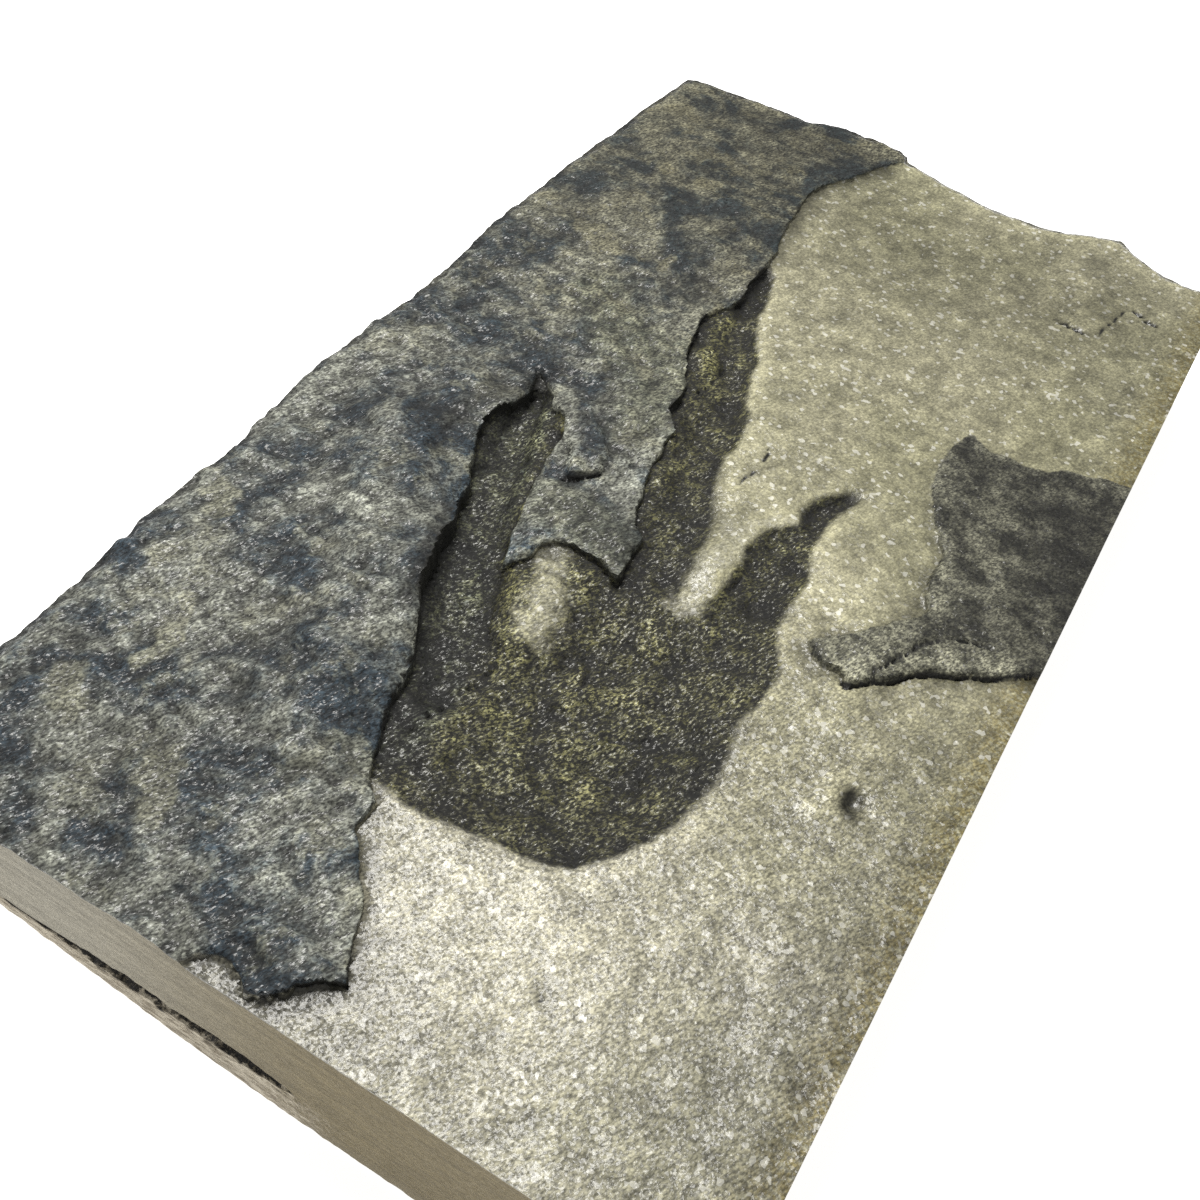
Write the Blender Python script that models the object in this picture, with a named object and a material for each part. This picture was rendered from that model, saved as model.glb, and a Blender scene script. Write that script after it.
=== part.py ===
"""A fossil dinosaur footprint: one three-toed track in a slab of thinly bedded stone.

The slab lies on its underside. Its front and right sides are sawn, and its left and back sides
are broken. A thin dark bed covers the left half, and the toes and the heel are pressed through
it into the pale bed below. +X is to the right, +Y runs from the heel towards the toe tips, +Z is
up, and the origin is under the middle of the slab.
"""

import bmesh
import bpy
import numpy as np

MM = 0.001

# Driving dimensions, in millimetres.
SLAB_WIDTH = 143.0
SLAB_LENGTH = 260.0
BED_HEIGHT = 30.0  # underside to the pale bed's surface
GRID_STEP = 3.7

RIGHT = SLAB_WIDTH / 2
FRONT = -SLAB_LENGTH / 2
BACK_CORNER = 0.475 * SLAB_LENGTH  # where the broken left side meets the broken back

# Heights above the pale bed and depths below it.
DARK_BED_RISE = 1.3
REMNANT_RISE = 1.2
RIDGE_HEIGHT = 3.4
HEEL_DEPTH = 1.8
EDGE_DROP = 1.2  # how far the broken rims are worn down
EDGE_WEAR = 3.0  # how far in from the rim that wear reaches
STEP_HALF_WIDTH = 1.8  # of the slope where a thin bed ends

# The broken left side: how far it stands from the middle at places along the slab.
LEFT_SIDE = (
    (-130, -67.5), (-98, -67.0), (-66, -68.7), (-53, -67.9), (-23, -70.8), (7, -69.5),
    (45, -71.5), (78, -70.7), (89, -69.6), (106, -69.4), (124, -68.0),
)
# The broken back: how far it stands from the middle at places across the slab.
BACK_SIDE = (
    (-72, 120.5), (-66, 123.2), (-48, 125.0), (-35, 125.3), (-27, 129.6), (-17, 130.0), (-12, 129.5),
    (-3, 125.8), (12, 122.6), (19, 122.1), (34, 124.5), (45, 130.0), (57, 122.3), (72, 123.0),
)

# The dark bed's free edge, from the back rim, round the toes and the heel, to the front rim.
DARK_BED_EDGE = (
    (-9, 134), (-10, 121), (-16, 110), (-21, 95), (-20, 80), (-16, 62), (-15, 50), (-18, 38),
    (-15, 24), (-12, 12), (-7, 2), (-6, -10), (-2, -21), (2, -28), (2, -35.5), (-6, -34),
    (-12, -40), (-16, -42), (-20, -28), (-24, -11), (-30, -3), (-36, 0), (-35, -8), (-36.5, -18),
    (-29, -34), (-24, -48), (-18, -64), (-12, -79), (-7, -92), (-3, -101), (6, -113), (10, -120.5),
    (2, -134),
)
DARK_BED = DARK_BED_EDGE + ((-80, -134), (-80, 134))

# The dark remnant at the right side.
REMNANT = (
    (39, 40), (44, 37), (52, 37.5), (60, 42), (72, 45), (78, 45), (78, -12), (69, -15), (57, -23),
    (50, -29), (44, -35), (36, -28), (42, -22), (49, -12), (48, 2), (42, 13), (38, 24),
)

# Each toe: its middle line from claw to heel, its half-width along it, and its depth.
TOES = (
    (((-34, -3), (-31, -18), (-25, -36), (-16, -54), (-8, -68)), (2.0, 4.5, 5.0, 6.5, 8.0), 2.4),
    (((-15, 60), (-11, 40), (-6, 20), (0, 2), (5, -16), (8, -40)), (1.5, 4.0, 5.0, 5.5, 5.5, 8.0), 2.0),
    (((28, 8), (24, -3), (22, -18), (23, -34), (20, -52)), (1.5, 3.5, 5.5, 7.0, 9.0), 1.8),
)
HEEL_CENTRE = (13.0, -61.0)
HEEL_RADII = (21.0, 31.0)

# The ridge of stone that the outer toe pushed up beside it, from front to back.
RIDGE_LINE = ((-20, -90), (-26, -70), (-33, -54), (-41, -40), (-48, -30))
RIDGE_WIDTHS = (9.0, 11.0, 12.0, 11.0, 8.0)

# The parting that opens in the sawn front face, and the spall under the front left corner.
PARTING_ENDS = (-42.0, 6.0)
PARTING_DEPTH = 2.2
SIDE_LEVELS = (21.0, 12.6, 10.2, 7.8)
PARTING_ROW = 2  # the level of the parting's deepest line
ARRIS_CHIP = 0.8
SPALL_RISE = 6.5
SPALL_INSET = (22.0, 26.0)  # how far it reaches under from the left and from the front
SPALL_END = 5.0  # where along the front face it dies out


def smooth_step(low, high, value):
    """0 below low, 1 above high and an even curve between them."""
    part = np.clip((value - low) / (high - low), 0.0, 1.0)
    return part * part * (3.0 - 2.0 * part)


def read_side(side, place):
    """A broken side's distance from the middle at a place along it."""
    places, distances = np.array(side, float).T
    return np.interp(place, places, distances)


def plan_point(across, along):
    """The point of the slab's plan at a fraction across it and a fraction along it."""
    left = read_side(LEFT_SIDE, FRONT + along * (BACK_CORNER - FRONT))
    x = left + across * (RIGHT - left)
    back = read_side(BACK_SIDE, x)
    return x, FRONT + along * (back - FRONT)


def line_distance(x, y, line):
    """The distance to a bent line, and the place of the nearest point, counted in its corners."""
    nearest = np.full(np.shape(x), np.inf)
    place = np.zeros(np.shape(x))
    for count, (start, end) in enumerate(zip(line[:-1], line[1:])):
        run = np.subtract(end, start)
        part = ((x - start[0]) * run[0] + (y - start[1]) * run[1]) / run.dot(run)
        part = np.clip(part, 0.0, 1.0)
        distance = np.hypot(x - start[0] - part * run[0], y - start[1] - part * run[1])
        place = np.where(distance < nearest, count + part, place)
        nearest = np.minimum(nearest, distance)
    return nearest, place


def depth_inside(x, y, outline):
    """The distance to a closed outline: above 0 inside it, below 0 outside."""
    ring = outline + outline[:1]
    inside = np.zeros(np.shape(x), bool)
    for (x0, y0), (x1, y1) in zip(ring[:-1], ring[1:]):
        if y0 != y1:
            crossing = x0 + (y - y0) * (x1 - x0) / (y1 - y0)
            inside ^= ((y0 > y) != (y1 > y)) & (x < crossing)
    distance, _ = line_distance(x, y, ring)
    return np.where(inside, distance, -distance)


def bands_rise(x, y):
    """The dark bed and its remnant, as thin sheets that end in a step."""
    dark_bed = smooth_step(-STEP_HALF_WIDTH, STEP_HALF_WIDTH, depth_inside(x, y, DARK_BED))
    remnant = smooth_step(-STEP_HALF_WIDTH, STEP_HALF_WIDTH, depth_inside(x, y, REMNANT))
    feather = smooth_step(40.0, -15.0, y)
    return DARK_BED_RISE * dark_bed + REMNANT_RISE * feather * remnant


def ridge_rise(x, y):
    """The pushed-up ridge, only on the dark bed's side of the outer toe."""
    distance, place = line_distance(x, y, RIDGE_LINE)
    width = np.interp(place, range(len(RIDGE_WIDTHS)), RIDGE_WIDTHS)
    side = smooth_step(-STEP_HALF_WIDTH, STEP_HALF_WIDTH, depth_inside(x, y, DARK_BED))
    return RIDGE_HEIGHT * side * np.exp(-((distance / width) ** 2))


def track_drop(x, y):
    """The hollow of the track: the deepest of the toes and the heel."""
    spread = np.hypot((x - HEEL_CENTRE[0]) / HEEL_RADII[0], (y - HEEL_CENTRE[1]) / HEEL_RADII[1])
    drop = HEEL_DEPTH * smooth_step(1.0, 0.6, spread)
    for line, half_widths, depth in TOES:
        distance, place = line_distance(x, y, line)
        half_width = np.interp(place, range(len(half_widths)), half_widths)
        drop = np.maximum(drop, depth * smooth_step(1.15, 0.45, distance / half_width))
    return drop


def bed_height(x, y):
    """The height of the upper surface over the slab's plan."""
    waves = 0.35 * np.sin(x / 17.0 + 0.6) * np.cos(y / 29.0) + 0.25 * np.sin((x + y) / 23.0)
    rim = np.minimum(x - read_side(LEFT_SIDE, y), read_side(BACK_SIDE, x) - y)
    worn = EDGE_DROP * smooth_step(EDGE_WEAR, 0.0, rim)
    return BED_HEIGHT + waves + bands_rise(x, y) + ridge_rise(x, y) - track_drop(x, y) - worn


def ledges(place, level):
    """How far a broken side stands back at a level: bed by bed, in uneven ledges."""
    wave = np.sin(place / 11.0 + level) + 0.6 * np.sin(place / 4.7 + 2.3 * level)
    return 1.3 + 0.7 * wave


def parting_depth(x, row):
    """How far the open parting goes into the front face at one of the side's levels."""
    start, end = PARTING_ENDS
    opening = smooth_step(start - 6.0, start + 10.0, x) * smooth_step(end + 4.0, end - 6.0, x)
    return PARTING_DEPTH * opening * (row == PARTING_ROW)


def spall_share(across, along):
    """How strong the spall is: 1 at the front left corner, 0 away from it."""
    reach_across = (SPALL_END + RIGHT) / SLAB_WIDTH
    return smooth_step(reach_across, 0.0, across) * smooth_step(0.16, 0.0, along)


def set_in(across, along, left, front, back, right=0.0):
    """A rim point moved inwards by millimetres from each side, without its ring crossing itself."""
    across = left / SLAB_WIDTH + across * (1.0 - (left + right) / SLAB_WIDTH)
    along = front / SLAB_LENGTH + along * (1.0 - (front + back) / SLAB_LENGTH)
    return plan_point(across, along)


def side_ring(row, across, along):
    """The rim point at one of the side's levels."""
    x, y = plan_point(across, along)
    level = SIDE_LEVELS[row]
    x, y = set_in(across, along, ledges(y, level), parting_depth(x, row), ledges(x, level))
    return x, y, level


def bottom_ring(across, along):
    """The lower edge of the sides, chipped a little and spalled at the front left corner."""
    x, y = plan_point(across, along)
    x, y = set_in(across, along, ledges(y, 0.0), 0.0, ledges(x, 0.0))
    return x, y, ARRIS_CHIP + SPALL_RISE * spall_share(across, along)


def rest_ring(across, along):
    """The rim of the flat underside that the slab rests on."""
    x, y = plan_point(across, along)
    share = spall_share(across, along)
    left = ledges(y, 0.0) + ARRIS_CHIP + SPALL_INSET[0] * share
    front = ARRIS_CHIP + SPALL_INSET[1] * share
    x, y = set_in(across, along, left, front, ledges(x, 0.0) + ARRIS_CHIP, ARRIS_CHIP)
    return x, y, 0.0


def add_ring(mesh, edges, fractions, place):
    """Extrudes the open rim by one ring and puts each of its points where place says."""
    added = bmesh.ops.extrude_edge_only(mesh, edges=edges)["geom"]
    for vert in (item for item in added if isinstance(item, bmesh.types.BMVert)):
        across, along, _ = vert[fractions]
        vert.co = [float(value) * MM for value in place(across, along)]
    return [item for item in added if isinstance(item, bmesh.types.BMEdge) and item.is_boundary]


def build_slab():
    """The slab as one closed mesh: the bed's surface, the sides and the underside."""
    mesh = bmesh.new()
    fractions = mesh.verts.layers.float_vector.new("fractions")
    columns = round(SLAB_WIDTH / GRID_STEP)
    rows = round(SLAB_LENGTH / GRID_STEP)
    grid = bmesh.ops.create_grid(mesh, x_segments=columns, y_segments=rows, size=0.5)["verts"]
    across, along, _ = np.array([vert.co for vert in grid]).T + 0.5
    x, y = plan_point(across, along)
    points = np.stack([x, y, bed_height(x, y)], axis=1) * MM
    for vert, point, u, v in zip(grid, points, across, along):
        vert.co = point
        vert[fractions] = (u, v, 0.0)

    rim = [edge for edge in mesh.edges if edge.is_boundary]
    for row in range(len(SIDE_LEVELS)):
        rim = add_ring(mesh, rim, fractions, lambda u, v, row=row: side_ring(row, u, v))
    rim = add_ring(mesh, rim, fractions, bottom_ring)
    rim = add_ring(mesh, rim, fractions, rest_ring)
    bmesh.ops.contextual_create(mesh, geom=rim)
    bmesh.ops.triangulate(mesh, faces=mesh.faces)
    bmesh.ops.recalc_face_normals(mesh, faces=mesh.faces)

    data = bpy.data.meshes.new("footprint_slab")
    mesh.to_mesh(data)
    mesh.free()
    data.shade_smooth()
    data.set_sharp_from_angle(angle=np.radians(40.0))
    return data


def stone_material():
    """Greenish-grey fine sandstone."""
    material = bpy.data.materials.new("bedded_stone")
    material.use_nodes = True
    shader = material.node_tree.nodes["Principled BSDF"]
    shader.inputs["Base Color"].default_value = (0.26, 0.24, 0.18, 1.0)
    shader.inputs["Roughness"].default_value = 0.75
    shader.inputs["Metallic"].default_value = 0.0
    return material


def main():
    for old in list(bpy.data.objects):
        bpy.data.objects.remove(old)
    slab = bpy.data.objects.new("footprint_slab", build_slab())
    slab.data.materials.append(stone_material())
    bpy.context.collection.objects.link(slab)


main()
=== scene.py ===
"""The looks of the fossil dinosaur footprint: the slab's fine relief, its materials and the studio.

Lengths are in millimetres until a mesh is made. The plan's axes are the frame's own: +X across
the slab towards its sawn right side, +Y from the heel towards the toe tips.
"""

import math

import bpy
import numpy as np
from mathutils import Matrix, Vector, noise


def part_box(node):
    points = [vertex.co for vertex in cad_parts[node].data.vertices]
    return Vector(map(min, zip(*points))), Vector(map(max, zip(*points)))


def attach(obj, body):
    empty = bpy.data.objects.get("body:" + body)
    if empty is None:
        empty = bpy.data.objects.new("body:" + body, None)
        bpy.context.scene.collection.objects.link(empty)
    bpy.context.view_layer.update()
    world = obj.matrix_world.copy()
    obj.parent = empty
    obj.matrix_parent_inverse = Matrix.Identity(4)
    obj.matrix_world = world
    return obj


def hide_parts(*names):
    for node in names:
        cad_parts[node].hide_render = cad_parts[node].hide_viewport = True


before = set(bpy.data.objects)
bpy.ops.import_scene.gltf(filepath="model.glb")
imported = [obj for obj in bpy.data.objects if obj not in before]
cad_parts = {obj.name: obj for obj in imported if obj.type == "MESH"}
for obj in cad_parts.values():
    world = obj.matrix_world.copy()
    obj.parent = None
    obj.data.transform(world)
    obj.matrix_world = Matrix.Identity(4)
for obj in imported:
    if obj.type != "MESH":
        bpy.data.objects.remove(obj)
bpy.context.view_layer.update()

NODE = "footprint_slab"
MM = 0.001
LOW, HIGH = (np.array(corner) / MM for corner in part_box(NODE))

# Driving dimensions, from the frame's node.
RIGHT = HIGH[0]
FRONT = LOW[1]
SLAB_WIDTH = 2.0 * RIGHT
SLAB_LENGTH = HIGH[1] - FRONT
BACK_CORNER = 0.475 * SLAB_LENGTH  # where the broken left side meets the broken back
BED_HEIGHT = 30.0  # underside to the pale bed's surface
DARK_BED_RISE = 1.2
REMNANT_RISE = 1.3
STEP_HALF_WIDTH = 0.12  # of the slope where a bed ends
OUTLINE_WANDER = 0.55  # how far noise moves an outline
GATHER_REACH = 1.6  # how far from an outline grid points are drawn to it
UNDERCUT = 0.45  # how far a high step's foot lies under its lip
EDGE_DROP = 1.1  # how far the broken rims are worn down
EDGE_WEAR = 3.0  # how far in from the rim that wear reaches
HOLLOW_SPREAD = 26  # grid steps over which a hollow is judged
SHARP_EDGE = math.radians(50.0)

# The broken sides: the distance from the middle at places along them.
LEFT_SIDE = (
    (-130, -67.5), (-98, -67.0), (-90, -67.1), (-84, -67.8), (-66, -68.7), (-57, -68.2), (-53, -67.9),
    (-46, -68.5), (-36, -69.5), (-23, -70.8), (-10, -70.4), (0, -69.8), (12, -69.6), (27, -70.2),
    (37, -71.2), (45, -71.4), (56, -71.0), (78, -70.7), (89, -69.6), (96, -69.9), (106, -69.4),
    (117, -68.6), (124, -68.0),
)
BACK_SIDE = (
    (-72, 120.0), (-68, 121.8), (-66, 123.2), (-58, 124.2), (-48, 125.0), (-35, 125.3), (-32, 127.2),
    (-27, 129.6), (-22, 129.4), (-17, 130.0), (-12, 129.4), (-9.5, 128.0), (-3, 125.8), (4, 124.3),
    (12, 122.6), (19, 122.1), (27, 123.0), (33, 124.3), (38, 127.0), (45, 130.0), (49, 126.5),
    (53, 124.6), (57, 122.4), (62, 121.6), (72, 123.0),
)

# The dark bed's free edge, each point with the height of the step there. It runs from the back
# rim to the middle toe's tip and down its left side, round the plate between the toes, up to the
# outer toe's tip and down its wall, past the heel, and out through the front rim.
DARK_BED_EDGE = (
    (-9, 134, 0.8), (-9.5, 124, 0.8), (-11, 120.5, 0.8), (-13.5, 117, 0.8), (-14.5, 113, 0.8),
    (-18, 105, 0.9), (-20, 100, 1.0), (-21.5, 94, 1.0), (-20.5, 88, 1.0), (-20, 82, 0.9),
    (-18.5, 73.5, 0.9), (-17, 68, 0.9), (-16, 62, 1.2), (-16.5, 57, 1.6), (-16, 52, 1.8),
    (-15, 47.5, 1.4), (-17, 44, 0.6), (-18.5, 39, 0.8), (-19, 36, 1.6), (-17.5, 30, 1.8),
    (-16.5, 25, 1.6), (-14, 20, 1.4), (-12, 17, 0.8), (-11, 13, 1.4), (-10.5, 7, 1.8), (-8.5, 5, 1.0),
    (-7, 2.5, 0.9), (-7.5, -0.5, 0.6), (-6.5, -4, 0.5), (-6, -9, 0.5), (-5, -13, 0.6),
    (-3.5, -16.5, 0.8), (-3, -20, 0.8), (-1, -23.5, 0.9), (1.5, -25, 0.9), (2, -28, 1.0),
    (2.3, -32, 1.0), (3, -34.5, 1.0), (2.5, -36, 1.0), (1, -36, 1.0), (-1.5, -34.8, 1.0),
    (-4.5, -34.2, 1.0), (-8, -34.2, 1.0), (-10.5, -35, 0.9), (-12, -36.5, 0.6), (-11.5, -40, 0.8),
    (-13, -43, 1.0), (-15, -45, 0.7), (-16.5, -41, 0.5), (-18, -36, 0.4), (-19.5, -31, 0.4),
    (-21.5, -25, 0.5), (-22.5, -18, 0.6), (-23.5, -11, 0.8), (-26, -7, 0.9), (-29.5, -5.5, 0.9),
    (-31, -2.5, 0.6), (-34, 0.5, 0.4), (-37.5, 2.5, 0.6), (-36.5, -1, 1.0), (-35, -5, 1.4),
    (-35.2, -9, 1.6), (-36.5, -13, 1.8), (-37, -17, 1.6), (-36, -21, 1.2), (-33.5, -25.5, 1.0),
    (-31, -31, 1.0), (-29, -35, 1.2), (-27, -41, 1.8), (-25, -48, 2.6), (-23, -55, 2.8),
    (-20.3, -61, 2.6), (-18, -65, 1.6), (-15.5, -69, 1.0), (-13.5, -74, 0.8), (-12.5, -80, 0.8),
    (-10, -86, 0.6), (-8.5, -90, 0.6), (-6.5, -93, 0.7), (-3.8, -95.5, 0.9), (-3.5, -100.5, 1.0),
    (-1, -103, 1.0), (2, -107, 1.0), (5, -110, 1.0), (6.5, -113.5, 1.0), (9, -118, 1.1),
    (10.5, -120.8, 1.6), (7.5, -122.5, 1.8), (5, -125, 1.8), (3, -127.8, 1.8), (0.5, -129, 1.5),
    (-2, -127, 0.9), (-5, -126, 0.8), (-8, -127.5, 0.8), (-11, -131, 0.8), (-11, -136, 0.8),
)
DARK_BED = DARK_BED_EDGE + ((-85, -136, 1.0), (-85, 134, 1.0))

# The track's rim where it lies in the pale bed, from the middle toe's tip round to the heel. Under
# the dark bed the outline only has to close.
TRACK = (
    (-16, 64), (-13.5, 59.5), (-12.5, 56), (-11, 53), (-10, 47), (-8.5, 42), (-6.5, 39), (-4.5, 35),
    (-3, 32), (-2, 27), (-0.5, 23), (0.5, 19.5), (2, 17.5), (3, 14.5), (4, 11), (4.5, 8), (4, 4),
    (4.5, 0), (6, -5), (8.5, -10), (10.5, -15), (11.5, -20), (12.5, -25), (13, -30), (14, -34),
    (16, -33), (17.5, -29), (18, -24), (17.5, -20), (16.5, -16), (16.5, -12), (18, -9), (20, -6),
    (21.5, -3.5), (21, 0), (22, 4), (24, 6.5), (26.5, 8.5), (28.7, 9.8), (29.5, 7), (28.5, 4),
    (27.8, -1), (27.5, -5), (28, -9), (29, -13), (30.5, -16), (30.5, -20), (30.2, -26),
    (30.8, -29.5), (32.5, -32.5), (34.5, -36), (35.5, -41), (35, -47), (34, -50.5), (34.5, -53),
    (35.7, -58), (36, -62), (35.5, -67), (35, -72), (33, -78), (31, -81.5), (29, -84.5), (26, -88),
    (22, -90), (17, -91), (12, -91.4), (7, -92.2), (4, -93.2), (0, -93.5), (-4, -92.8), (-9, -92.5),
    (-18, -84), (-30, -56), (-42, -20), (-42, 4), (-30, 4), (-22, 20), (-26, 40), (-21, 62),
)

# The dark remnant at the right side.
REMNANT = (
    (39.5, 40), (41.5, 38.8), (45, 36.8), (49, 38.2), (52, 37.5), (56, 39.2), (59, 41.7), (63, 43),
    (67, 44.5), (71, 45), (78, 45), (78, -9), (71.5, -12.5), (68, -15.5), (64, -18.5), (60, -21),
    (56.5, -23), (53.5, -25), (51, -29), (47.5, -31.5), (45, -34.5), (43.5, -32), (40, -32.5),
    (37.5, -31.5), (35.5, -28.5), (39, -25.5), (43, -21.5), (46, -17), (49, -13), (50, -10),
    (48, -6), (47.5, -2), (47.5, 4), (45, 8), (42.5, 12), (41, 15), (38.5, 21), (37.8, 27),
    (38.3, 33),
)

# Creases in the heel: a bent line, its width and its depth, and the radius and share of the painted shade
# along it.
HEEL_CREASES = (
    (((3.2, -57), (4.6, -60.5), (6.2, -64)), 0.4, 0.5, 0.8, -0.7),
    (((7.3, -52), (8.6, -56.5), (10, -60)), 0.4, 0.5, 0.8, -0.7),
    (((16, -64), (19.5, -62), (23, -59.5)), 0.35, 0.4, 0.7, -0.6),
    (((24.5, -65.5), (26.5, -70.5)), 0.35, 0.4, 0.6, -0.6),
    (((31.5, -63), (32.5, -59)), 0.5, 0.6, 0.9, -0.7),
)

# Open cracks and thin ledges: a bent line, its width and its depth. The material paints them near black
# as painted shade.
CRACKS = tuple(crease[:3] for crease in HEEL_CREASES) + (
    (((-6.5, -93), (-8, -88), (-8.2, -84), (-7.5, -80), (-6.8, -75), (-6, -70), (-4.5, -66),
      (-5.5, -61), (-6.5, -56)), 0.32, 0.8),
    (((-18, -65), (-15, -70), (-13.5, -76), (-12, -82), (-9.5, -86)), 0.3, 0.6),
    (((-10, 35), (-9.5, 30), (-8.5, 25), (-8.8, 18), (-10, 15)), 0.35, 0.8),
    (((19.3, -19), (20, -24), (19, -28)), 0.35, 0.5),
    (((47, -30.5), (48.5, -27), (51, -22), (52.3, -19), (55, -15), (59, -13), (63.5, -12)),
     0.45, 0.8),
    (((43, -32), (45, -34.3), (47.5, -31.3), (51, -28.8), (53.7, -24.8), (56.5, -22.8), (60, -20.8),
      (64, -18.3), (68, -15.3), (72, -12)), 0.35, 0.6),
    (((42, 88.5), (46, 87.8), (50.5, 87)), 0.7, 0.9),
    (((51.5, 88), (52, 93), (52.8, 97.5), (54, 102)), 0.4, 0.4),
    (((54, 102), (57, 101.3), (59.5, 100.3), (62, 100)), 0.7, 0.7),
    (((9, 11), (10, 7), (10.5, 3), (8.5, -3)), 0.3, 0.3), (((27.5, -65.5), (30, -68)), 0.35, 0.4),
    (((-24, 5), (-23.5, 8)), 0.35, 0.4), (((-17.4, -21.2), (-15, -18.7), (-12.3, -16.2)), 0.7, 1.3),
    (((-16.5, -45), (-17.5, -42), (-16.5, -38.5)), 0.4, 0.6), (((31, -107), (33, -109)), 0.4, 0.4),
    (((-29, -38), (-26.5, -46), (-25, -52)), 0.35, 0.4),
)

# Each toe: its middle line from claw to heel, its half-width along it, and its depth.
TOES = (
    (((-34, -3), (-31, -18), (-25, -36), (-16, -54), (-8, -68)), (2.0, 5.0, 6.0, 7.5, 9.0), 2.2),
    (((-15, 60), (-11, 40), (-5, 20), (0, 2), (6, -16), (9, -40)), (1.5, 4.0, 5.5, 6.5, 7.0, 9.0), 1.2),
    (((28, 8), (24, -3), (23, -18), (24, -34), (21, -52)), (2.0, 4.5, 7.0, 8.0, 10.0), 1.2),
)
HEEL_CENTRE = (13.0, -61.0)
HEEL_RADII = (22.0, 32.0)
HEEL_DEPTH = 2.9

# The ridge of stone that the outer toe pushed up beside it, from front to back.
RIDGE_LINE = ((-20, -90), (-26, -70), (-33, -54), (-41, -40), (-48, -30))
RIDGE_WIDTHS = (9.0, 11.0, 12.0, 11.0, 8.0)
RIDGE_HEIGHT = 3.4

# Low swells and dips of the beds: place, radius, height.
SWELLS = (
    (-6, -46, 6, 1.3), (-3, -55, 5, 0.5), (14, -22, 5, 0.9), (12, -40, 5, 0.6), (-56, -30, 9, -0.9),
    (-44, -14, 8, 0.6), (-27, -4, 4, 0.6), (-58, -72, 14, 0.9), (30, -100, 16, 0.5),
    (-16, -115, 14, 0.7),
    (45, 105, 9, 0.6), (-45, 60, 20, 0.9), (50, -60, 12, -0.5), (55, -53.5, 2.0, -1.4), (52, -56, 4, 0.4),
    (-13, 43, 3, 0.5), (-14, 28, 3, 0.6), (1, -85, 5, -0.5), (24, -70, 7, -0.5), (-31, -58, 6, 0.7),
    (-40, -98, 10, 0.6), (-22, -97, 7, -0.5), (-60, -112, 9, 0.5), (-48, -88, 6, -0.4),
    (-34, 40, 8, -0.5),
    (-24, 50, 6, -0.5), (-30, 78, 10, 0.5), (-55, 20, 10, -0.5), (-50, 100, 12, 0.5), (-30, 108, 9, -0.5),
    (8, -60, 2, 0.5), (7, -66, 2.5, -0.4), (20, -38, 3, -0.5), (26, -26, 3.5, -0.8), (18, -52, 4, 0.4),
    (24, -58, 4, -0.4), (10, -76, 5, 0.4), (-2, -72, 4, 0.4), (24, -2, 3, -0.6), (6, -18, 3, 0.3),
    (0, 8, 4, -0.3), (-23, -30, 4, 0.4), (-26, -18, 4, -0.3), (-15, -55, 3, 0.4), (60, -85, 10, 0.4),
    (20, -115, 9, 0.4), (44, -20, 5, 0.3), (36, 60, 18, 0.4), (8, 92, 12, -0.4), (64, 70, 12, -0.4),
)

# Plates of the dark bed that stand up round the outer toe: an outline, and the step at its front.
PLATES = (
    (((-29, -4.5), (-27, -1.5), (-24.5, -0.5), (-21.5, -3.5), (-17.5, -7), (-14, -11), (-12.5, -15.5),
      (-15, -18.5), (-17, -21), (-18.5, -17.5), (-20, -13.5), (-23, -11.5), (-27, -9)), 1.1),
    (((-17.5, -38), (-15.5, -35), (-12.5, -34.5), (-11, -38), (-12, -40.5), (-14.5, -43),
      (-17, -44.5)), 0.5),
    (((-34, 0), (-30, -4), (-27.5, -9), (-24, -12), (-21, -16), (-20, -21), (-22, -18), (-25, -14),
      (-29, -10), (-32, -5)), 0.35),
)

# The parting in the sawn front face and the spall under the front left corner.
PARTING_ENDS = (-50.0, 9.0)
PARTING_DEPTH = 3.0
PARTING_MIDDLE = 10.6
PARTING_HALF_GAP = 2.3
UPPER_LEVELS = (26.0, 21.5, 17.0)  # the plain rings of the sides, above the parting
LOWEST_LEVEL = 4.5  # the ring just above the lower arris
ARRIS_CHIP = 0.8
SPALL_RISE = 6.5
SPALL_INSET = (16.0, 18.0)  # how far it reaches under from the left and from the front
SPALL_END = 5.0  # where along the front face it dies out
SPALL_DEPTH = 0.16  # how far back it reaches, as a fraction of the slab


# --- numbers ---

def smooth_step(low, high, value):
    """0 below low, 1 above high and an even curve between them."""
    part = np.clip((value - low) / (high - low), 0.0, 1.0)
    return part * part * (3.0 - 2.0 * part)


def rough(x, y, size, octaves=3, layer=0.0):
    """Noise of about -1 to 1 over the plan, with bumps size apart. Each layer is another pattern."""
    spots = zip(np.ravel(x) / size, np.ravel(y) / size)
    values = [noise.fractal((u, v, layer), 1.0, 2.0, octaves) for u, v in spots]
    return np.array(values).reshape(np.shape(x))


def read_side(side, place):
    """A broken side's distance from the middle at a place along it."""
    places, distances = np.array(side, float).T
    return np.interp(place, places, distances)


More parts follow.
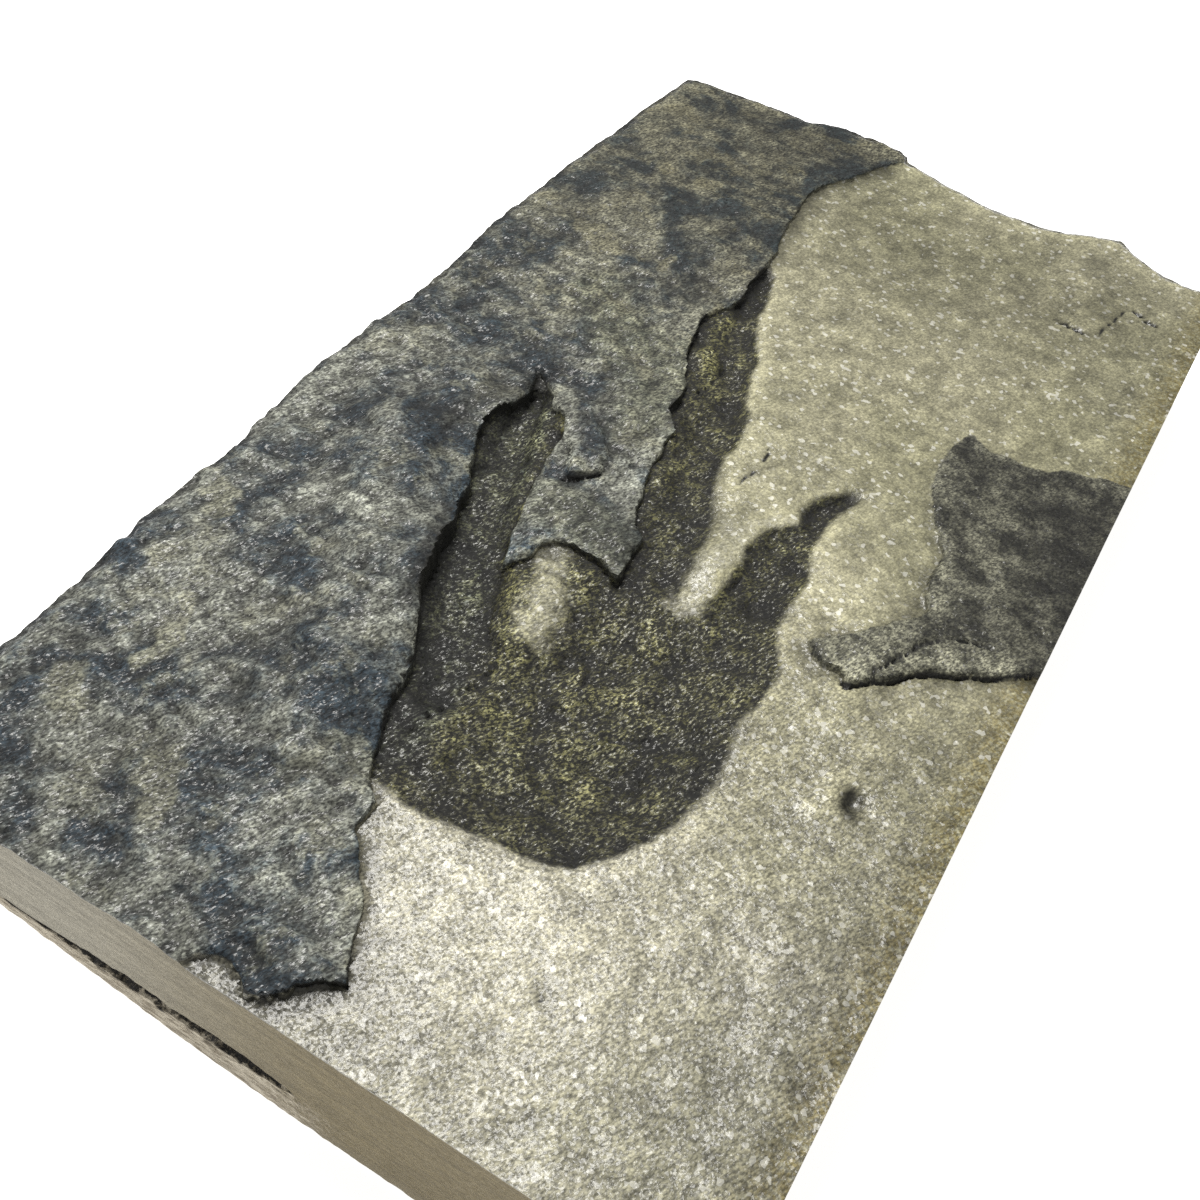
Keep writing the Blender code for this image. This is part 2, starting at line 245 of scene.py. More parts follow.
class Line:
    """Where points of the plan lie beside a bent line or a closed outline.

    For each point: the distance to the line, the place along it counted in corners, the value
    given there, the way from the line to the point, and the depth inside a closed outline.
    """

    def __init__(self, x, y, points, closed=False):
        points = np.array(points, float)
        if closed:
            points = np.vstack([points, points[:1]])
        values = points[:, 2] if points.shape[1] > 2 else np.zeros(len(points))
        self.distance = np.full(x.shape, np.inf)
        self.place = np.zeros(x.shape)
        self.value = np.zeros(x.shape)
        self.away = np.zeros((2,) + x.shape)
        inside = np.zeros(x.shape, bool)
        for count, (start, end) in enumerate(zip(points[:-1, :2], points[1:, :2])):
            run = end - start
            part = ((x - start[0]) * run[0] + (y - start[1]) * run[1]) / run.dot(run)
            part = np.clip(part, 0.0, 1.0)
            dx = x - start[0] - part * run[0]
            dy = y - start[1] - part * run[1]
            distance = np.hypot(dx, dy)
            near = distance < self.distance
            self.distance[near] = distance[near]
            self.place[near] = count + part[near]
            self.value[near] = (values[count] * (1 - part) + values[count + 1] * part)[near]
            self.away[0][near] = dx[near]
            self.away[1][near] = dy[near]
            if start[1] != end[1]:
                crossing = start[0] + (y - start[1]) * run[0] / run[1]
                inside ^= ((start[1] > y) != (end[1] > y)) & (x < crossing)
        self.depth = np.where(inside, self.distance, -self.distance)


# --- the plan and the relief ---

def plan_point(across, along):
    """The point of the slab's plan at a fraction across it and a fraction along it."""
    place = FRONT + along * (BACK_CORNER - FRONT)
    ragged = 0.5 * rough(np.zeros_like(place), place, 9.0, 4, 3.0)
    left = np.maximum(read_side(LEFT_SIDE, place) + ragged, LOW[0])
    x = left + across * (RIGHT - left)
    ragged = 0.45 * rough(x, np.zeros_like(x), 9.0, 4, 7.0)
    back = np.minimum(read_side(BACK_SIDE, x) + ragged, HIGH[1])
    return x, FRONT + along * (back - FRONT)


def wandering(x, y):
    """The place moved a little by noise, so that outlines read there are ragged."""
    return (
        x + OUTLINE_WANDER * rough(x, y, 5.0, 4, 11.0),
        y + OUTLINE_WANDER * rough(x, y, 5.0, 4, 17.0),
    )


def gather(x, y, outline):
    """Draws nearby grid points to an outline, so that the step there is crisp."""
    line = Line(*wandering(x, y), outline, True)
    pull = np.clip(line.distance / GATHER_REACH, 0.1, 1.0) ** 0.9 - 1.0
    rim = np.minimum(np.minimum(x - LOW[0], RIGHT - x), np.minimum(y - FRONT, HIGH[1] - y))
    pull *= smooth_step(0.5, 12.0, rim)
    return x + pull * line.away[0], y + pull * line.away[1]


def swells(x, y):
    """The beds' long waves, and their low swells and dips."""
    waves = 0.35 * np.sin(x / 17.0 + 0.6) * np.cos(y / 29.0) + 0.25 * np.sin((x + y) / 23.0)
    return waves + sum(
        height * np.exp(-((x - sx) ** 2 + (y - sy) ** 2) / radius ** 2)
        for sx, sy, radius, height in SWELLS
    )


def plates(x, y):
    """The plates round the outer toe, each highest along its front edge."""
    rises = np.zeros(x.shape)
    for outline, rise in PLATES:
        plate = Line(*wandering(x, y), outline, True)
        back = max(point[1] for point in outline)
        front = min(point[1] for point in outline)
        fall = 0.3 + 0.7 * smooth_step(back, 0.3 * back + 0.7 * front, y)
        share = smooth_step(-STEP_HALF_WIDTH, STEP_HALF_WIDTH, plate.depth)
        rises = np.maximum(rises, rise * fall * share)
    return rises


def edge_wear(x, y):
    """How far the broken rims are worn down."""
    rim = np.minimum(x - read_side(LEFT_SIDE, y), read_side(BACK_SIDE, x) - y)
    return EDGE_DROP * smooth_step(EDGE_WEAR, 0.0, rim + 0.8 * rough(x, y, 6.0, 2, 37.0))


class Bed:
    """The upper surface at points of the plan: its outlines, its cracks and its height."""

    def __init__(self, x, y):
        qx, qy = wandering(x, y)
        self.dark = Line(qx, qy, DARK_BED, True)
        self.track = Line(qx, qy, TRACK, True)
        self.remnant = Line(qx, qy, REMNANT, True)
        self.ridge = Line(x, y, RIDGE_LINE)
        self.crack = np.zeros(x.shape)
        self.crack_drop = np.zeros(x.shape)
        uneven = 0.75 + 0.5 * rough(x, y, 3.0, 3, 19.0)
        for points, width, depth in CRACKS:
            line = Line(qx, qy, points)
            ends = smooth_step(0.0, 0.6, line.place) * smooth_step(0.0, 0.6, len(points) - 1 - line.place)
            width = width * uneven
            here = smooth_step(1.2, 0.4, line.distance / width) * (0.35 + 0.65 * ends)
            self.crack = np.maximum(self.crack, here)
            self.crack_drop = np.maximum(self.crack_drop, depth * here)
        # The walls of the dark bed's higher steps, which the material paints near black as painted shade.
        reach = 0.2 + 0.6 * smooth_step(1.8, 2.6, self.dark.value)
        self.wall = np.exp(-((self.dark.distance / reach) ** 2)) * smooth_step(0.7, 1.3, self.dark.value)
        self.height = self.find_height(x, y)

    def find_height(self, x, y):
        """The height above the underside."""
        side = smooth_step(-STEP_HALF_WIDTH, STEP_HALF_WIDTH, self.dark.depth)
        height = BED_HEIGHT + swells(x, y) + self.sheet(side) + self.remnant_rise(y) + plates(x, y)
        height = height + self.fine_relief(x, y, side) + self.slaty_relief(x, y, side)
        return height - self.track_drop(x, y, side) - self.crack_drop - edge_wear(x, y)

    def sheet(self, side):
        """The dark bed, with the height of its step near its edge and the ridge beside the toe."""
        near_edge = np.exp(-np.maximum(self.dark.depth, 0.0) / 7.0)
        sheet = DARK_BED_RISE + (self.dark.value - DARK_BED_RISE) * near_edge
        width = np.interp(self.ridge.place, range(len(RIDGE_WIDTHS)), RIDGE_WIDTHS)
        ridge = RIDGE_HEIGHT * np.exp(-((self.ridge.distance / width) ** 2))
        return side * (sheet + ridge)

    def remnant_rise(self, y):
        """The remnant, which thins out towards its back."""
        feather = smooth_step(42.0, -15.0, y)
        return REMNANT_RISE * feather * smooth_step(-STEP_HALF_WIDTH, 0.5, self.remnant.depth)

    def fine_relief(self, x, y, side):
        """Small bumps, deepest where the foot has trodden."""
        trodden = smooth_step(-1.0, 3.0, self.track.depth) * (1.0 - side)
        relief = (0.13 + 0.14 * trodden + 0.12 * side) * rough(x, y, 2.6, 3, 23.0)
        relief += 0.25 * rough(x, y, 12.0, 2, 29.0)
        return relief + (0.1 + 0.5 * trodden) * rough(x, y, 5.5, 4, 27.0)

    def slaty_relief(self, x, y, side):
        """The dark bed's slanting folds, which are lower towards the back."""
        folds = np.abs(rough(x + 0.6 * y, 2.0 * y - 0.3 * x, 13.0, 4, 31.0))
        streaks = rough(1.5 * x - 0.4 * y, 0.7 * y + 0.3 * x, 4.5, 4, 33.0)
        return side * (0.9 * folds + 0.45 * streaks) * (smooth_step(110.0, -10.0, y) * 0.7 + 0.3)

    def track_drop(self, x, y, side):
        """The hollow of the track, which ends at its rim, and at the dark bed's edge."""
        spread = np.hypot((x - HEEL_CENTRE[0]) / HEEL_RADII[0], (y - HEEL_CENTRE[1]) / HEEL_RADII[1])
        drop = HEEL_DEPTH * smooth_step(1.1, 0.4, spread)
        for points, half_widths, depth in TOES:
            line = Line(x, y, points)
            half_width = np.interp(line.place, range(len(half_widths)), half_widths)
            drop = np.maximum(drop, depth * smooth_step(1.2, 0.4, line.distance / half_width))
        rim = 0.45 * smooth_step(-0.4, 1.6, self.track.depth)
        inside = 0.35 + 0.65 * smooth_step(-1.5, 5.0, self.track.depth)
        return (drop * inside + rim) * (1.0 - 0.65 * side)

    def undercut(self, x, y):
        """The plan moved at the foot of each step, to a little way under the lip above it."""
        foot = (self.dark.depth < 0.0) * np.exp(-((self.dark.distance / 0.6) ** 2))
        reach = UNDERCUT * foot * smooth_step(0.7, 1.6, self.dark.value)
        unit = self.dark.away / np.maximum(self.dark.distance, 1e-6)
        return x - reach * unit[0], y - reach * unit[1]


def hollows(height):
    """How far each point of a grid lies below the points around it, in millimetres. The material paints
    shade where a point lies low and light where it stands high.
    """
    around = height
    for _ in range(HOLLOW_SPREAD):
        wide = np.pad(around, 1, mode="edge")
        around = (wide[:-2, 1:-1] + wide[2:, 1:-1] + wide[1:-1, :-2] + wide[1:-1, 2:]) / 4.0
    return around - height


# --- the slab's mesh ---

COLUMNS = 220
# The distance between rows at places along the slab.
ROW_STEPS = ((-130, 0.62), (-92, 0.55), (15, 0.6), (65, 0.95), (131, 1.25))


def row_fractions():
    """Fractions along the slab, closer together over the track."""
    places, steps = np.array(ROW_STEPS, float).T
    fine = np.linspace(places[0], places[-1], 4000)
    count = np.cumsum(1.0 / np.interp(fine, places, steps))
    count -= count[0]
    rows = round(count[-1] * (fine[1] - fine[0]))
    at = np.interp(np.linspace(0, count[-1], rows + 1), count, fine)
    return (at - at[0]) / (at[-1] - at[0])


def ledges(place, level):
    """How far a broken side stands back at a level: bed by bed, in uneven ledges."""
    wave = np.sin(place / 11.0 + 0.4 * level) + 0.6 * np.sin(place / 4.7 + 0.9 * level)
    return 1.2 + 0.45 * wave + 0.5 * rough(place, np.full_like(place, level), 5.0, 4, 41.0)


def spall_share(across, along):
    """How strong the spall is: 1 at the front left corner, 0 away from it."""
    reach_across = (SPALL_END + RIGHT) / SLAB_WIDTH
    return smooth_step(reach_across, 0.0, across) * smooth_step(SPALL_DEPTH, 0.0, along)


def set_in(across, along, left, front, back, right=0.0):
    """A rim point moved inwards by millimetres from each side, without its ring crossing itself."""
    across = left / SLAB_WIDTH + across * (1.0 - (left + right) / SLAB_WIDTH)
    along = front / SLAB_LENGTH + along * (1.0 - (front + back) / SLAB_LENGTH)
    return plan_point(across, along)


def parting_opening(x):
    """How open the parting in the front face is along it, from 0 to 1."""
    start, end = PARTING_ENDS
    ends = 0.12 * smooth_step(start, start + 4.0, x) + 0.88 * smooth_step(start + 5.0, start + 27.0, x)
    ends *= smooth_step(end, end - 8.0, x)
    return ends * (0.9 + 0.4 * rough(x, np.zeros_like(x), 4.0, 4, 43.0))


def parting_levels(x, opening):
    """The parting's rings: level, depth into the front, blackness, share of the rough lower bed."""
    gap = 0.1 + PARTING_HALF_GAP * opening
    middle = PARTING_MIDDLE + 0.5 * rough(x, np.zeros_like(x), 9.0, 3, 47.0)
    middle += 0.25 * rough(x, np.zeros_like(x), 1.8, 3, 49.0)
    return [
        (middle + gap, 0.0, 0.0, 0.0), (middle + 0.9 * gap, PARTING_DEPTH, 1.0, 0.0),
        (middle - 0.1 * gap, 0.9 * PARTING_DEPTH, 1.0, 0.3),
        (middle - 0.6 * gap, 0.65 * PARTING_DEPTH, 1.0, 0.8),
        (middle - gap, 0.1 * PARTING_DEPTH, 0.3, 1.0),
    ]


def side_rings(across, along, top):
    """The rings of the sides from the upper rim down to the flat underside.

    Each ring is its points, how black it is, and how much it belongs to the rough lower bed.
    """
    x0, y0 = plan_point(across, along)
    opening = parting_opening(x0) * smooth_step(FRONT + 8.0, FRONT + 2.0, y0)
    chip = 0.25 + 0.2 * rough(x0, y0, 1.6, 3, 53.0)
    levels = [(top - 0.4 - chip, 0.0, 0.0, 0.0)]
    levels += [(np.full_like(x0, level), 0.0, 0.0, 0.0) for level in UPPER_LEVELS]
    levels += parting_levels(x0, opening)
    spall = spall_share(across, along)
    fresh = smooth_step(PARTING_ENDS[1] + 25.0, PARTING_ENDS[1] - 25.0, x0)
    fresh *= smooth_step(FRONT + 14.0, FRONT + 3.0, y0)
    for level, inset, black, lower in levels:
        front = inset * opening * (1.0 + 0.5 * rough(x0, level, 1.5, 3, 59.0))
        x, y = set_in(across, along, ledges(y0, level), front, ledges(x0, level))
        # How dark the parting is painted: its stain and the painted shade in the gap.
        dark = black * smooth_step(0.02, 0.12, opening) * (0.75 + 0.5 * rough(x0, level, 1.2, 3, 63.0))
        yield (x, y, level), dark, lower * fresh
    for level, inset in ((LOWEST_LEVEL, 0.0), (0.0, 0.25)):
        lift = ARRIS_CHIP + SPALL_RISE * spall + level * (1.0 - 0.6 * spall)
        torn = 0.15 * (rough(x0, y0, 2.2, 4, 61.0) + 0.6) * (x0 < SPALL_END + 25.0)
        x, y = set_in(across, along, ledges(y0, level), inset + torn, ledges(x0, level), inset)
        yield (x, y, lift + 0.3 * torn), np.zeros_like(x0), fresh
    left = ledges(y0, 0.0) + 1.0 + SPALL_INSET[0] * spall
    front = 1.2 + SPALL_INSET[1] * spall
    x, y = set_in(across, along, left, front, ledges(x0, 0.0) + 1.0, 1.0)
    yield (x, y, np.zeros_like(x0)), np.zeros_like(x0), fresh


def build_slab():
    """The slab as one closed mesh: a gathered grid for the bed, rings for the sides, one base."""
    fractions = row_fractions()
    rows = len(fractions)
    columns = COLUMNS + 1
    across, along = np.meshgrid(np.linspace(0.0, 1.0, columns), fractions)
    x, y = plan_point(across, along)
    for outline in (DARK_BED, TRACK, REMNANT):
        x, y = gather(x, y, outline)
    bed = Bed(x, y)
    low_x, low_y = bed.undercut(x, y)

    index = np.arange(rows * columns).reshape(rows, columns)
    corners = index[:-1, :-1], index[:-1, 1:], index[1:, 1:], index[1:, :-1]
    faces = np.stack([corner.ravel() for corner in corners], axis=1).tolist()
    rim = np.concatenate([index[0, :-1], index[:-1, -1], index[-1, :0:-1], index[:0:-1, 0]])
    points = [np.stack([low_x.ravel(), low_y.ravel(), bed.height.ravel()], axis=1)]
    rim_across, rim_along = across.ravel()[rim], along.ravel()[rim]
    ring = rim
    black = [np.zeros(bed.height.size)]
    lower = [np.zeros(bed.height.size)]
    for placed, dark, rough_bed in side_rings(rim_across, rim_along, bed.height.ravel()[rim]):
        start = sum(len(part) for part in points)
        below = np.arange(start, start + len(rim))
        points.append(np.stack(placed, axis=1))
        black.append(dark)
        lower.append(rough_bed)
        quads = np.stack([ring, below, np.roll(below, -1), np.roll(ring, -1)], axis=1)
        faces += quads.tolist()
        ring = below
    faces.append(ring[::-1].tolist())

    data = bpy.data.meshes.new("track_slab")
    data.from_pydata((np.vstack(points) * MM).tolist(), [], faces)
    data.validate()
    marks = {"parting": np.concatenate(black), "lower": np.concatenate(lower)}
    add_marks(data, bed, rim, marks)
    data.shade_smooth()
    data.set_sharp_from_angle(angle=SHARP_EDGE)
    slab = bpy.data.objects.new("track_slab", data)
    bpy.context.collection.objects.link(slab)
    return slab


# --- marks for the material ---

# Soft changes of tone: a place or a line, its radius, and its share lighter or darker. Many of them are
# painted light and shade; the rest is the stone's own tone.
# In the track: painted shade along the heel's lower right rim, the middle toe's right side and the heel's
# right side; painted highlight on the hump, the ridges beside the creases and low in the heel.
TRACK_TONES = (
    (((-24, -19),), 3, -0.25), (((20, -37),), 1.3, -0.5), (((-9, -38),), 4, 0.5), (((-4, -50),), 5, 0.45),
    (((20.5, -50.5),), 3, -0.45), (((28, -62),), 8, -0.3), (((6, -66),), 1.6, -0.5),
    (((-16, -66),), 0.8, 1.2), (((-14, 40), (-12, 18)), 2, 0.25), (((23, 0), (28, 7)), 2.8, -0.55),
    (((5, -2), (9, -13), (11, -22), (10, -30)), 1.8, -0.45), (((3.4, -3), (3.2, 0.5)), 1.3, -0.7),
    (((22, -5), (21, -15)), 4, 0.2), (((-29, -14), (-26, -24)), 3, 0.35),
    (((20, -22), (19, -27)), 1.0, -0.5), (((25, -28), (29, -24)), 4, -0.65),
    (((10, -38), (12, -35)), 1.2, -0.5), (((8, -40), (6, -33)), 2, -0.35),
    (((30, -41), (29, -34)), 4, -0.4), (((14, -45), (14, -54)), 3, 0.35),
    (((34.5, -50), (35, -58), (34.5, -66), (31.5, -75), (27, -83), (21, -88.5)), 2.4, -0.5),
    (((26, -52), (29, -60)), 3, -0.3), (((5.5, -54), (8, -62)), 1.4, 0.5),
    (((-1, -62), (3, -70)), 3, 0.5), (((-13, -62), (-6, -65), (-10, -76)), 4, -0.55),
    (((4, -76), (12, -70)), 5, 0.35),
    (((16, -78), (22, -73)), 2.5, 0.5), (((-6, -80), (0, -88)), 2.5, -0.3),
    (((5, -85), (9, -86)), 1.0, -0.6), (((-6, -86), (12, -88), (24, -84)), 4, -0.3),
)
# The wide lighter spot at the pale bed's front is a painted highlight, the sheen there.
PALE_TONES = (
    (((12, -2),), 6, 0.25), (((57.6, -54.3),), 1.1, 0.4), (((48, -72),), 7, 0.15),
    (((27, -102),), 20, 0.36), (((-13, 120), (-6, 106), (-12, 94)), 4, -0.2),
    (((43, 115), (46, 109), (49, 103), (50, 97)), 3.5, -0.3), (((10, 90), (50, 95)), 30, -0.28),
    (((13, 8), (11, 3), (8.5, -1)), 0.8, -0.4), (((64, -8), (71, -14)), 2.5, -0.5),
    (((13, -10), (14, -24), (15, -40)), 3, -0.3), (((62, -40), (66, -75), (60, -110)), 9, -0.25),
    (((54, -52), (54.2, -55), (56, -56.5)), 1.2, -0.85), (((-2, -128), (14, -122)), 10, -0.3),
)
REMNANT_TONES = (
    (((58, 22),), 3, 0.35), (((44, 33), (52, 36)), 2.2, -0.4), (((66, 30), (70, 8)), 7, -0.7),
    (((62, 29), (57, 28)), 3.2, -0.7), (((66, 15), (62, 18)), 3.0, -0.6), (((50, 8), (52, 1)), 2.2, -0.5),
    (((50, 2), (54, 10)), 5, 0.45), (((38, -17), (44, -20)), 7, 0.55), (((40, -26), (45, -33)), 3, 0.5),
    (((47, -30), (51, -25), (56, -19.5), (62, -17), (67, -13)), 2.8, 1.1),
)
# Painted shade along the outer toe's wall and tip, the ridge's flank, beside and under the plates and
# along the dark bed's edge by the middle toe; painted light on the ridge's crest.
DARK_TONES = (
    (((-33.5, 48),), 2, 0.4), (((-26, 46),), 6, -0.45), (((-16, -37),), 2.2, -0.5),
    (((-28, -43),), 1.2, 0.8), (((-30, -84),), 9, -0.2), (((-52, -85),), 8, 0.25),
    (((-60, -100),), 6, -0.2), (((-35, -110),), 8, -0.2), (((-13, -112),), 8, 0.5),
    (((-50, 115), (-25, 120)), 9, -0.3), (((-17, 60), (-15.5, 47)), 1.2, -0.6),
    (((-17.5, 37), (-15.5, 22)), 1.2, -0.6), (((-46, 30), (-20, 25)), 14, 0.25),
    (((-11.5, 13), (-9, 4)), 1.2, -0.7),
    (((-35, 3), (-36.5, -4), (-39, -10), (-41, -16), (-43, -22)), 3.2, -0.65),
    (((-66, 0), (-60, 60)), 6, -0.15), (((-27, -4), (-21, -8), (-16, -14)), 2.6, -0.45),
    (((-7, -13), (-13, -19)), 2.5, 0.8), (((-19, -16), (-15, -18)), 1.5, 0.6),
    (((-3, -18), (0, -25), (1.5, -34)), 2.5, -0.55), (((-17, -20.5), (-12.5, -16.5)), 0.8, -0.95),
    (((-52, -28), (-40, -21)), 5, -0.35), (((-14, -28), (-4, -29)), 6, -0.42),
    (((-13, -30), (-15, -44)), 2.2, 0.5), (((-34, -40), (-32, -52), (-29, -64)), 4, -0.3),
    (((-28.5, -42), (-26, -50), (-23.5, -57), (-21, -64)), 1.5, -0.85),
    (((-36, -48), (-44, -60)), 7, 0.25), (((-4, -116), (3, -112)), 5, 0.4),
)
CREASE_SHADES = tuple((line, radius, share) for line, _, _, radius, share in HEEL_CREASES)
TONES = TRACK_TONES + CREASE_SHADES + PALE_TONES + REMNANT_TONES + DARK_TONES

# Tan spots on the dark bed where it has worn through: a place or a line, and its radius.
WORN_SPOTS = (
    (((-54, 47), (-48, 45)), 4.0), (((-33.5, 48),), 2.0), (((-42, 79.5),), 2.4), (((-51.5, 80),), 2.4),
    (((-49, -83), (-47, -91), (-47, -96)), 2.0), (((-17, 41),), 2.2), (((-60, -78),), 3),
    (((-55, -104), (-50, -108)), 3), (((-33, -108), (-28, -114)), 3.5), (((-62, -62), (-58, -66)), 3),
)
# Places in the track where the film is taken away. The first, on the hump below the plate, is a painted
# highlight; at the others the film is gone.
BARE_AND_LIT_SPOTS = (
    (((-9, -38), (-6, -44), (-3, -52)), 3.6), (((13, -14), (14, -24), (14, -34)), 2.4),
    (((20, -5), (16.5, -14), (17, -28)), 1.3),
)
# Where the dark bed is olive and not blue-grey, round and behind the toes.
OLIVE_SPOTS = (
    (((-15, -28), (-3, -29)), 7), (((-14, 0), (-16, 20)), 8), (((-28, 20), (-40, 30)), 8),
)
# Where the dark film in the track is slate and not olive.
SLATE_FILM = (
    (((-34, -6), (-30, -20), (-25, -34), (-21, -46), (-15, -60), (-11, -72), (-9, -84)), 6.5),
)


def blot(x, y, points, radius):
    """A soft round spot, or a soft band along a line, from 0 to 1."""
    if len(points) == 1:
        distance = np.hypot(x - points[0][0], y - points[0][1])
    else:
        distance = Line(x, y, points).distance
    return np.exp(-((distance / radius) ** 2))


def blots(x, y, rows):
    """The sum of the spots and bands of a table."""
    return sum(blot(x, y, points, radius) for points, radius in rows)


def add_marks(data, bed, rim, marks):
    """Stores what the material reads at each point: outlines, cracks, tones and sawn faces. Cracks, steep
    walls and hollows get painted shade, and many tones are painted light and shade.
    """
    count = len(data.vertices)
    place = np.zeros(count * 3)
    data.vertices.foreach_get("co", place)
    x, y, _ = place.reshape(-1, 3).T / MM
    sawn = np.maximum(smooth_step(0.6, 0.15, y - FRONT), smooth_step(0.6, 0.15, RIGHT - x))
    # hollow feeds the painted shade in hollows and the painted light on crests.
    on_bed = {
        "dark_bed": bed.dark.depth, "wall": bed.wall, "track": bed.track.depth,
        "remnant": bed.remnant.depth, "crack": bed.crack, "hollow": hollows(bed.height),
    }
    top = bed.height.size
    for name, values in on_bed.items():
        values = values.ravel()
        below = np.tile(values[rim], (count - top) // len(rim))
        marks[name] = np.concatenate([values, below])
    marks["upper"] = (np.arange(count) < top).astype(float)
    # The tones, partly the stone's own and partly painted light and shade.
    marks["tone"] = np.ones(count)
    for points, radius, share in TONES:
        marks["tone"] *= 1.0 + share * blot(x, y, points, radius)
    u = x + 2.5 * rough(x, y, 7.0, 4, 71.0)
    v = y + 2.5 * rough(x, y, 7.0, 4, 73.0)
    marks["worn"] = blots(u, v, WORN_SPOTS)
    marks["bare_and_lit"] = blots(u, v, BARE_AND_LIT_SPOTS)
    marks["olive"] = blots(u, v, OLIVE_SPOTS)
    marks["slate"] = blots(x, y, SLATE_FILM)
    marks["sawn"] = sawn * (np.arange(count) >= top)
    for name, values in marks.items():
        layer = data.attributes.new(name, "FLOAT", "POINT")
        layer.data.foreach_set("value", np.clip(values, -20.0, 20.0).astype(np.float32))


# --- materials ---

GRAIN_SIZE = 0.42
STREAK_TURN = -66.0  # degrees, from the slab's axes to the stone's own grain
MATT = 0.8  # roughness of the dull stone


class Shader:
    """Short calls that add nodes to a material. Sizes are in millimetres."""

    def __init__(self, name):
        self.material = bpy.data.materials.new(name)
        self.material.use_nodes = True
        self.nodes = self.material.node_tree.nodes
        self.links = self.material.node_tree.links
        self.main = self.nodes["Principled BSDF"]
        coords = self.add("ShaderNodeTexCoord")
        inputs = {"Vector": coords.outputs["Object"], "Scale": (1 / MM,) * 3}
        self.place = self.add("ShaderNodeMapping", inputs).outputs[0]
        self.x, self.y, _ = self.add("ShaderNodeSeparateXYZ", {"Vector": self.place}).outputs

    def add(self, kind, inputs=None, **settings):
        made = self.nodes.new(kind)
        for name, value in settings.items():
            setattr(made, name, value)
        for key, value in (inputs or {}).items():
            self.put(made.inputs[key], value)
        return made

    def put(self, socket, value):
        if isinstance(value, bpy.types.NodeSocket):
            self.links.new(value, socket)
        elif value is not None:
            socket.default_value = value

    def mark(self, name):
        return self.add("ShaderNodeAttribute", attribute_name=name).outputs["Fac"]

    def stretch(self, scale, turn=0.0):
        """The place turned about Z by degrees and stretched, for streaks."""
        inputs = {"Vector": self.place, "Rotation": (0, 0, math.radians(turn))}
        turned = self.add("ShaderNodeMapping", inputs).outputs[0]
        return self.add("ShaderNodeMapping", {"Vector": turned, "Scale": scale}).outputs[0]

    def noise(self, size, detail=3.0, roughness=0.55, place=None, distortion=0.0):
        inputs = {
            "Vector": place or self.place, "Scale": 1.0 / size, "Detail": detail,
            "Roughness": roughness, "Distortion": distortion,
        }
        return self.add("ShaderNodeTexNoise", inputs).outputs[0]

    def dashes(self, size, detail=2.0):
        """Short uneven dashes that run back across the slab, as the stone's grain does."""
        return self.noise(size, detail, 0.6, self.stretch((0.5, 1.0, 1.0), STREAK_TURN))

    def crinkle(self, size, place=None):
        """Sharp crests with soft hollows between them."""
        inputs = {
            "Vector": place or self.place, "Scale": 1.0 / size, "Detail": 3.0,
            "Roughness": 0.55, "Lacunarity": 2.2,
        }
        return self.add("ShaderNodeTexNoise", inputs, noise_type="RIDGED_MULTIFRACTAL").outputs[0]

    def creases(self, size, width, depth, place=None):
        """Thin dark lines that wander like fine cracks: depth on a line, 1 away from it."""
        middle = self.maths("SUBTRACT", self.noise(size, 5.0, 0.65, place), 0.5)
        return self.fade(self.maths("ABSOLUTE", middle), 0.0, width, depth, 1.0)

    def cells(self, size, output="Color", place=None):
        """Round cells: each one's own random colour, or the distance from its middle."""
        inputs = {"Vector": place or self.place, "Scale": 1.0 / size}
        return self.add("ShaderNodeTexVoronoi", inputs).outputs[output]

    def maths(self, operation, a, b=0.0):
        made = self.add("ShaderNodeMath", operation=operation)
        self.put(made.inputs[0], a)
        self.put(made.inputs[1], b)
        return made.outputs[0]

    def fade(self, value, low, high, start=0.0, end=1.0):
        """start below low, end above high, and a smooth change between them."""
        inputs = {"Value": value, "From Min": low, "From Max": high, "To Min": start, "To Max": end}
        return self.add("ShaderNodeMapRange", inputs, interpolation_type="SMOOTHSTEP").outputs[0]

    def mix(self, share, a, b, blend="MIX"):
        made = self.add("ShaderNodeMix", data_type="RGBA", blend_type=blend)
        self.put(made.inputs["Factor"], share)
        for socket, value in zip(("A", "B"), (a, b)):
            found = [item for item in made.inputs if item.name == socket and item.type == "RGBA"][0]
            if isinstance(value, tuple):
                value = value + (1.0,)
            self.put(found, value)
        return [item for item in made.outputs if item.type == "RGBA"][0]

    def mix_value(self, share, a, b):
        made = self.add("ShaderNodeMix", {"Factor": share}, data_type="FLOAT")
        self.put(made.inputs[2], a)
        self.put(made.inputs[3], b)
        return made.outputs[0]

    def tinted(self, colour, tint):
        return self.mix(1.0, colour, tint, "MULTIPLY")

    def shade(self, colour, value):
        """The colour made lighter or darker by a factor."""
        inputs = {"Red": value, "Green": value, "Blue": value}
        return self.tinted(colour, self.add("ShaderNodeCombineColor", inputs).outputs[0])

    def speckle(self, colour, value, start, end, low=0.36, high=0.64):
        """The colour times start where the value is low and times end where it is high."""
        return self.shade(colour, self.fade(value, low, high, start, end))

    def centred(self, value, strength):
        """A value from 0 to 1 turned into one about 0, as strong as asked."""
        return self.maths("MULTIPLY", self.maths("SUBTRACT", value, 0.5), strength)

    def grain(self, colour):
        """One random number for each cell, from its colour."""
        return self.add("ShaderNodeSeparateColor", {"Color": colour}).outputs["Red"]

    def vector(self, operation, a, b):
        made = self.add("ShaderNodeVectorMath", operation=operation)
        self.put(made.inputs[0], a)
        self.put(made.inputs["Scale" if operation == "SCALE" else 1], b)
        return made.outputs[0]

